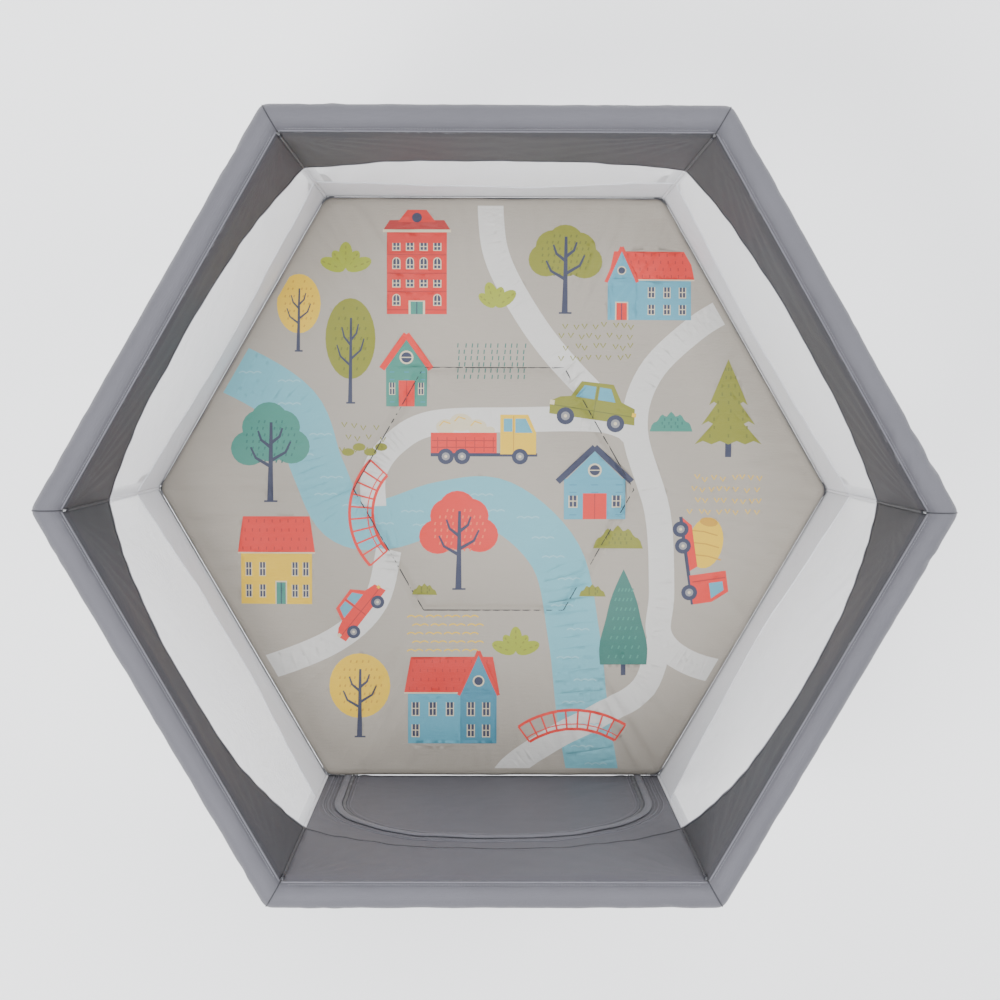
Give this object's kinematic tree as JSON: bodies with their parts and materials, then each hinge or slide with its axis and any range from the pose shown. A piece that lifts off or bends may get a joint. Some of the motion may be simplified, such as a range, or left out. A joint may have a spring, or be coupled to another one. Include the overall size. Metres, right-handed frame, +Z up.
{
  "type": "folding hexagonal playpen",
  "caption": "Six-sided folding playpen with padded top rails, mesh walls, a zipped fabric door, a padded floor mat and an umbrella-style floor hub that gathers the posts.",
  "frame": {"origin": "centre of the playpen on the floor", "axes": "+Z up; -Y is the door side; +X runs from corner to corner, the longest way"},
  "size_m": [1.244, 1.0832, 0.687],
  "materials": {
    "silver_tube": "satin",
    "grey_casting": "matte",
    "dark_casting": "matte",
    "steel_rivet": "satin",
    "red_plastic": "gloss",
    "webbing": "matte",
    "grey_fabric": "satin",
    "mesh_fabric": "matte",
    "floor_fabric": "matte",
    "mat_fabric": "matte",
    "zip_metal": "satin"
  },
  "bodies": {
    "leg_1": {"post_1": "silver_tube", "head_1": "grey_casting", "foot_1": "grey_casting", "side_1": "grey_fabric"},
    "leg_2": {"post_2": "silver_tube", "head_2": "grey_casting", "foot_2": "grey_casting", "side_2": "mesh_fabric"},
    "leg_3": {"post_3": "silver_tube", "head_3": "grey_casting", "foot_3": "grey_casting", "side_3": "mesh_fabric"},
    "leg_4": {"post_4": "silver_tube", "head_4": "grey_casting", "foot_4": "grey_casting", "side_4": "mesh_fabric"},
    "leg_5": {"post_5": "silver_tube", "head_5": "grey_casting", "foot_5": "grey_casting", "side_5": "mesh_fabric"},
    "leg_6": {"post_6": "silver_tube", "head_6": "grey_casting", "foot_6": "grey_casting", "side_6": "mesh_fabric"},
    "spoke_1": {"arm_1": "silver_tube"},
    "left_link_1": {"rail_left_1": "silver_tube"},
    "knuckle_1": {"lock_1": "grey_casting"},
    "right_link_1": {"rail_right_1": "silver_tube"},
    "spoke_2": {"arm_2": "silver_tube"},
    "left_link_2": {"rail_left_2": "silver_tube"},
    "knuckle_2": {"lock_2": "grey_casting"},
    "right_link_2": {"rail_right_2": "silver_tube"},
    "spoke_3": {"arm_3": "silver_tube"},
    "left_link_3": {"rail_left_3": "silver_tube"},
    "knuckle_3": {"lock_3": "grey_casting"},
    "right_link_3": {"rail_right_3": "silver_tube"},
    "spoke_4": {"arm_4": "silver_tube"},
    "left_link_4": {"rail_left_4": "silver_tube"},
    "knuckle_4": {"lock_4": "grey_casting"},
    "right_link_4": {"rail_right_4": "silver_tube"},
    "spoke_5": {"arm_5": "silver_tube"},
    "left_link_5": {"rail_left_5": "silver_tube"},
    "knuckle_5": {"lock_5": "grey_casting"},
    "right_link_5": {"rail_right_5": "silver_tube"},
    "spoke_6": {"arm_6": "silver_tube"},
    "left_link_6": {"rail_left_6": "silver_tube"},
    "knuckle_6": {"lock_6": "grey_casting"},
    "right_link_6": {"rail_right_6": "silver_tube"},
    "hub": {"hub_shell": "dark_casting", "hub_rivets": "steel_rivet", "hub_cover": "grey_casting", "hub_screws": "steel_rivet", "floor_sheet": "floor_fabric"},
    "knob": {"release_knob": "red_plastic", "pull_strap": "webbing"},
    "mat_pad": {"mat": "mat_fabric"},
    "door": {"door_flap": "grey_fabric"},
    "slider": {"zip_slider": "zip_metal"}
  },
  "joints": [
    {"name": "fold", "type": "hinge", "parent": "leg_1", "child": "spoke_1", "pos_m": [-0.2875, -0.49796, 0.02], "axis": [0.866, -0.5, 0], "range_deg": [0, 84], "deforming": ["side_1", "side_2", "side_3", "side_4", "side_5", "side_6", "door_flap", "floor_sheet", "mat"]},
    {"name": "hub_level", "type": "hinge", "parent": "spoke_1", "child": "hub", "pos_m": [-0.0355, -0.06149, 0.02], "axis": [-0.866, 0.5, 0], "range_deg": [0, 84]},
    {"name": "arm_hinge_2", "type": "hinge", "parent": "hub", "child": "spoke_2", "pos_m": [0.0355, -0.06149, 0.02], "axis": [0.866, 0.5, 0], "range_deg": [0, 84]},
    {"name": "post_hinge_2", "type": "hinge", "parent": "spoke_2", "child": "leg_2", "pos_m": [0.2875, -0.49796, 0.02], "axis": [-0.866, -0.5, 0], "range_deg": [0, 84]},
    {"name": "arm_hinge_3", "type": "hinge", "parent": "hub", "child": "spoke_3", "pos_m": [0.071, 0, 0.02], "axis": [0, 1, 0], "range_deg": [0, 84]},
    {"name": "post_hinge_3", "type": "hinge", "parent": "spoke_3", "child": "leg_3", "pos_m": [0.575, 0, 0.02], "axis": [0, -1, 0], "range_deg": [0, 84]},
    {"name": "arm_hinge_4", "type": "hinge", "parent": "hub", "child": "spoke_4", "pos_m": [0.0355, 0.06149, 0.02], "axis": [-0.866, 0.5, 0], "range_deg": [0, 84]},
    {"name": "post_hinge_4", "type": "hinge", "parent": "spoke_4", "child": "leg_4", "pos_m": [0.2875, 0.49796, 0.02], "axis": [0.866, -0.5, 0], "range_deg": [0, 84]},
    {"name": "arm_hinge_5", "type": "hinge", "parent": "hub", "child": "spoke_5", "pos_m": [-0.0355, 0.06149, 0.02], "axis": [-0.866, -0.5, 0], "range_deg": [0, 84]},
    {"name": "post_hinge_5", "type": "hinge", "parent": "spoke_5", "child": "leg_5", "pos_m": [-0.2875, 0.49796, 0.02], "axis": [0.866, 0.5, 0], "range_deg": [0, 84]},
    {"name": "arm_hinge_6", "type": "hinge", "parent": "hub", "child": "spoke_6", "pos_m": [-0.071, 0, 0.02], "axis": [0, -1, 0], "range_deg": [0, 84]},
    {"name": "post_hinge_6", "type": "hinge", "parent": "spoke_6", "child": "leg_6", "pos_m": [-0.575, 0, 0.02], "axis": [0, 1, 0], "range_deg": [0, 84]},
    {"name": "rail_hinge_1", "type": "hinge", "parent": "leg_1", "child": "left_link_1", "pos_m": [-0.27, -0.51962, 0.668], "axis": [0, 1, 0], "range_deg": [0, 84]},
    {"name": "lock_hinge_1", "type": "hinge", "parent": "left_link_1", "child": "knuckle_1", "pos_m": [-0.018, -0.51962, 0.668], "axis": [0, -1, 0], "range_deg": [0, 84]},
    {"name": "rail_end_1", "type": "hinge", "parent": "knuckle_1", "child": "right_link_1", "pos_m": [0.018, -0.51962, 0.668], "axis": [0, -1, 0], "range_deg": [0, 84]},
    {"name": "rail_hinge_2", "type": "hinge", "parent": "leg_2", "child": "left_link_2", "pos_m": [0.315, -0.49363, 0.668], "axis": [-0.866, 0.5, 0], "range_deg": [0, 84]},
    {"name": "lock_hinge_2", "type": "hinge", "parent": "left_link_2", "child": "knuckle_2", "pos_m": [0.441, -0.2754, 0.668], "axis": [0.866, -0.5, 0], "range_deg": [0, 84]},
    {"name": "rail_end_2", "type": "hinge", "parent": "knuckle_2", "child": "right_link_2", "pos_m": [0.459, -0.24422, 0.668], "axis": [0.866, -0.5, 0], "range_deg": [0, 84]},
    {"name": "rail_hinge_3", "type": "hinge", "parent": "leg_3", "child": "left_link_3", "pos_m": [0.585, 0.02598, 0.668], "axis": [-0.866, -0.5, 0], "range_deg": [0, 84]},
    {"name": "lock_hinge_3", "type": "hinge", "parent": "left_link_3", "child": "knuckle_3", "pos_m": [0.459, 0.24422, 0.668], "axis": [0.866, 0.5, 0], "range_deg": [0, 84]},
    {"name": "rail_end_3", "type": "hinge", "parent": "knuckle_3", "child": "right_link_3", "pos_m": [0.441, 0.2754, 0.668], "axis": [0.866, 0.5, 0], "range_deg": [0, 84]},
    {"name": "rail_hinge_4", "type": "hinge", "parent": "leg_4", "child": "left_link_4", "pos_m": [0.27, 0.51962, 0.668], "axis": [0, -1, 0], "range_deg": [0, 84]},
    {"name": "lock_hinge_4", "type": "hinge", "parent": "left_link_4", "child": "knuckle_4", "pos_m": [0.018, 0.51962, 0.668], "axis": [0, 1, 0], "range_deg": [0, 84]},
    {"name": "rail_end_4", "type": "hinge", "parent": "knuckle_4", "child": "right_link_4", "pos_m": [-0.018, 0.51962, 0.668], "axis": [0, 1, 0], "range_deg": [0, 84]},
    {"name": "rail_hinge_5", "type": "hinge", "parent": "leg_5", "child": "left_link_5", "pos_m": [-0.315, 0.49363, 0.668], "axis": [0.866, -0.5, 0], "range_deg": [0, 84]},
    {"name": "lock_hinge_5", "type": "hinge", "parent": "left_link_5", "child": "knuckle_5", "pos_m": [-0.441, 0.2754, 0.668], "axis": [-0.866, 0.5, 0], "range_deg": [0, 84]},
    {"name": "rail_end_5", "type": "hinge", "parent": "knuckle_5", "child": "right_link_5", "pos_m": [-0.459, 0.24422, 0.668], "axis": [-0.866, 0.5, 0], "range_deg": [0, 84]},
    {"name": "rail_hinge_6", "type": "hinge", "parent": "leg_6", "child": "left_link_6", "pos_m": [-0.585, -0.02598, 0.668], "axis": [0.866, 0.5, 0], "range_deg": [0, 84]},
    {"name": "lock_hinge_6", "type": "hinge", "parent": "left_link_6", "child": "knuckle_6", "pos_m": [-0.459, -0.24422, 0.668], "axis": [-0.866, -0.5, 0], "range_deg": [0, 84]},
    {"name": "rail_end_6", "type": "hinge", "parent": "knuckle_6", "child": "right_link_6", "pos_m": [-0.441, -0.2754, 0.668], "axis": [-0.866, -0.5, 0], "range_deg": [0, 84]},
    {"name": "mat_lift", "type": "slide", "parent": "hub", "child": "mat_pad", "axis": [0, 0, 1], "range_m": [0, 0.16]},
    {"name": "door_open", "type": "hinge", "parent": "leg_1", "child": "door", "pos_m": [0, -0.49861, 0.045], "axis": [1, 0, 0], "range_deg": [0, 94]},
    {"name": "zip_slide", "type": "slide", "parent": "leg_1", "child": "slider", "axis": [0, 0, 1], "range_m": [0, 0.14]},
    {"name": "hub_release", "type": "slide", "parent": "hub", "child": "knob", "axis": [0, 0, 1], "range_m": [0, 0.012]}
  ],
  "couplings": [
    {"joint": "hub_level", "follows": "fold", "ratio": 1},
    {"joint": "arm_hinge_2", "follows": "fold", "ratio": 1},
    {"joint": "post_hinge_2", "follows": "fold", "ratio": 1},
    {"joint": "arm_hinge_3", "follows": "fold", "ratio": 1},
    {"joint": "post_hinge_3", "follows": "fold", "ratio": 1},
    {"joint": "arm_hinge_4", "follows": "fold", "ratio": 1},
    {"joint": "post_hinge_4", "follows": "fold", "ratio": 1},
    {"joint": "arm_hinge_5", "follows": "fold", "ratio": 1},
    {"joint": "post_hinge_5", "follows": "fold", "ratio": 1},
    {"joint": "arm_hinge_6", "follows": "fold", "ratio": 1},
    {"joint": "post_hinge_6", "follows": "fold", "ratio": 1},
    {"joint": "rail_hinge_1", "follows": "fold", "ratio": 1},
    {"joint": "lock_hinge_1", "follows": "fold", "ratio": 1},
    {"joint": "rail_end_1", "follows": "fold", "ratio": 1},
    {"joint": "rail_hinge_2", "follows": "fold", "ratio": 1},
    {"joint": "lock_hinge_2", "follows": "fold", "ratio": 1},
    {"joint": "rail_end_2", "follows": "fold", "ratio": 1},
    {"joint": "rail_hinge_3", "follows": "fold", "ratio": 1},
    {"joint": "lock_hinge_3", "follows": "fold", "ratio": 1},
    {"joint": "rail_end_3", "follows": "fold", "ratio": 1},
    {"joint": "rail_hinge_4", "follows": "fold", "ratio": 1},
    {"joint": "lock_hinge_4", "follows": "fold", "ratio": 1},
    {"joint": "rail_end_4", "follows": "fold", "ratio": 1},
    {"joint": "rail_hinge_5", "follows": "fold", "ratio": 1},
    {"joint": "lock_hinge_5", "follows": "fold", "ratio": 1},
    {"joint": "rail_end_5", "follows": "fold", "ratio": 1},
    {"joint": "rail_hinge_6", "follows": "fold", "ratio": 1},
    {"joint": "lock_hinge_6", "follows": "fold", "ratio": 1},
    {"joint": "rail_end_6", "follows": "fold", "ratio": 1},
    {"joint": "mat_lift", "follows": "fold", "m_per_rad": 0.107}
  ]
}
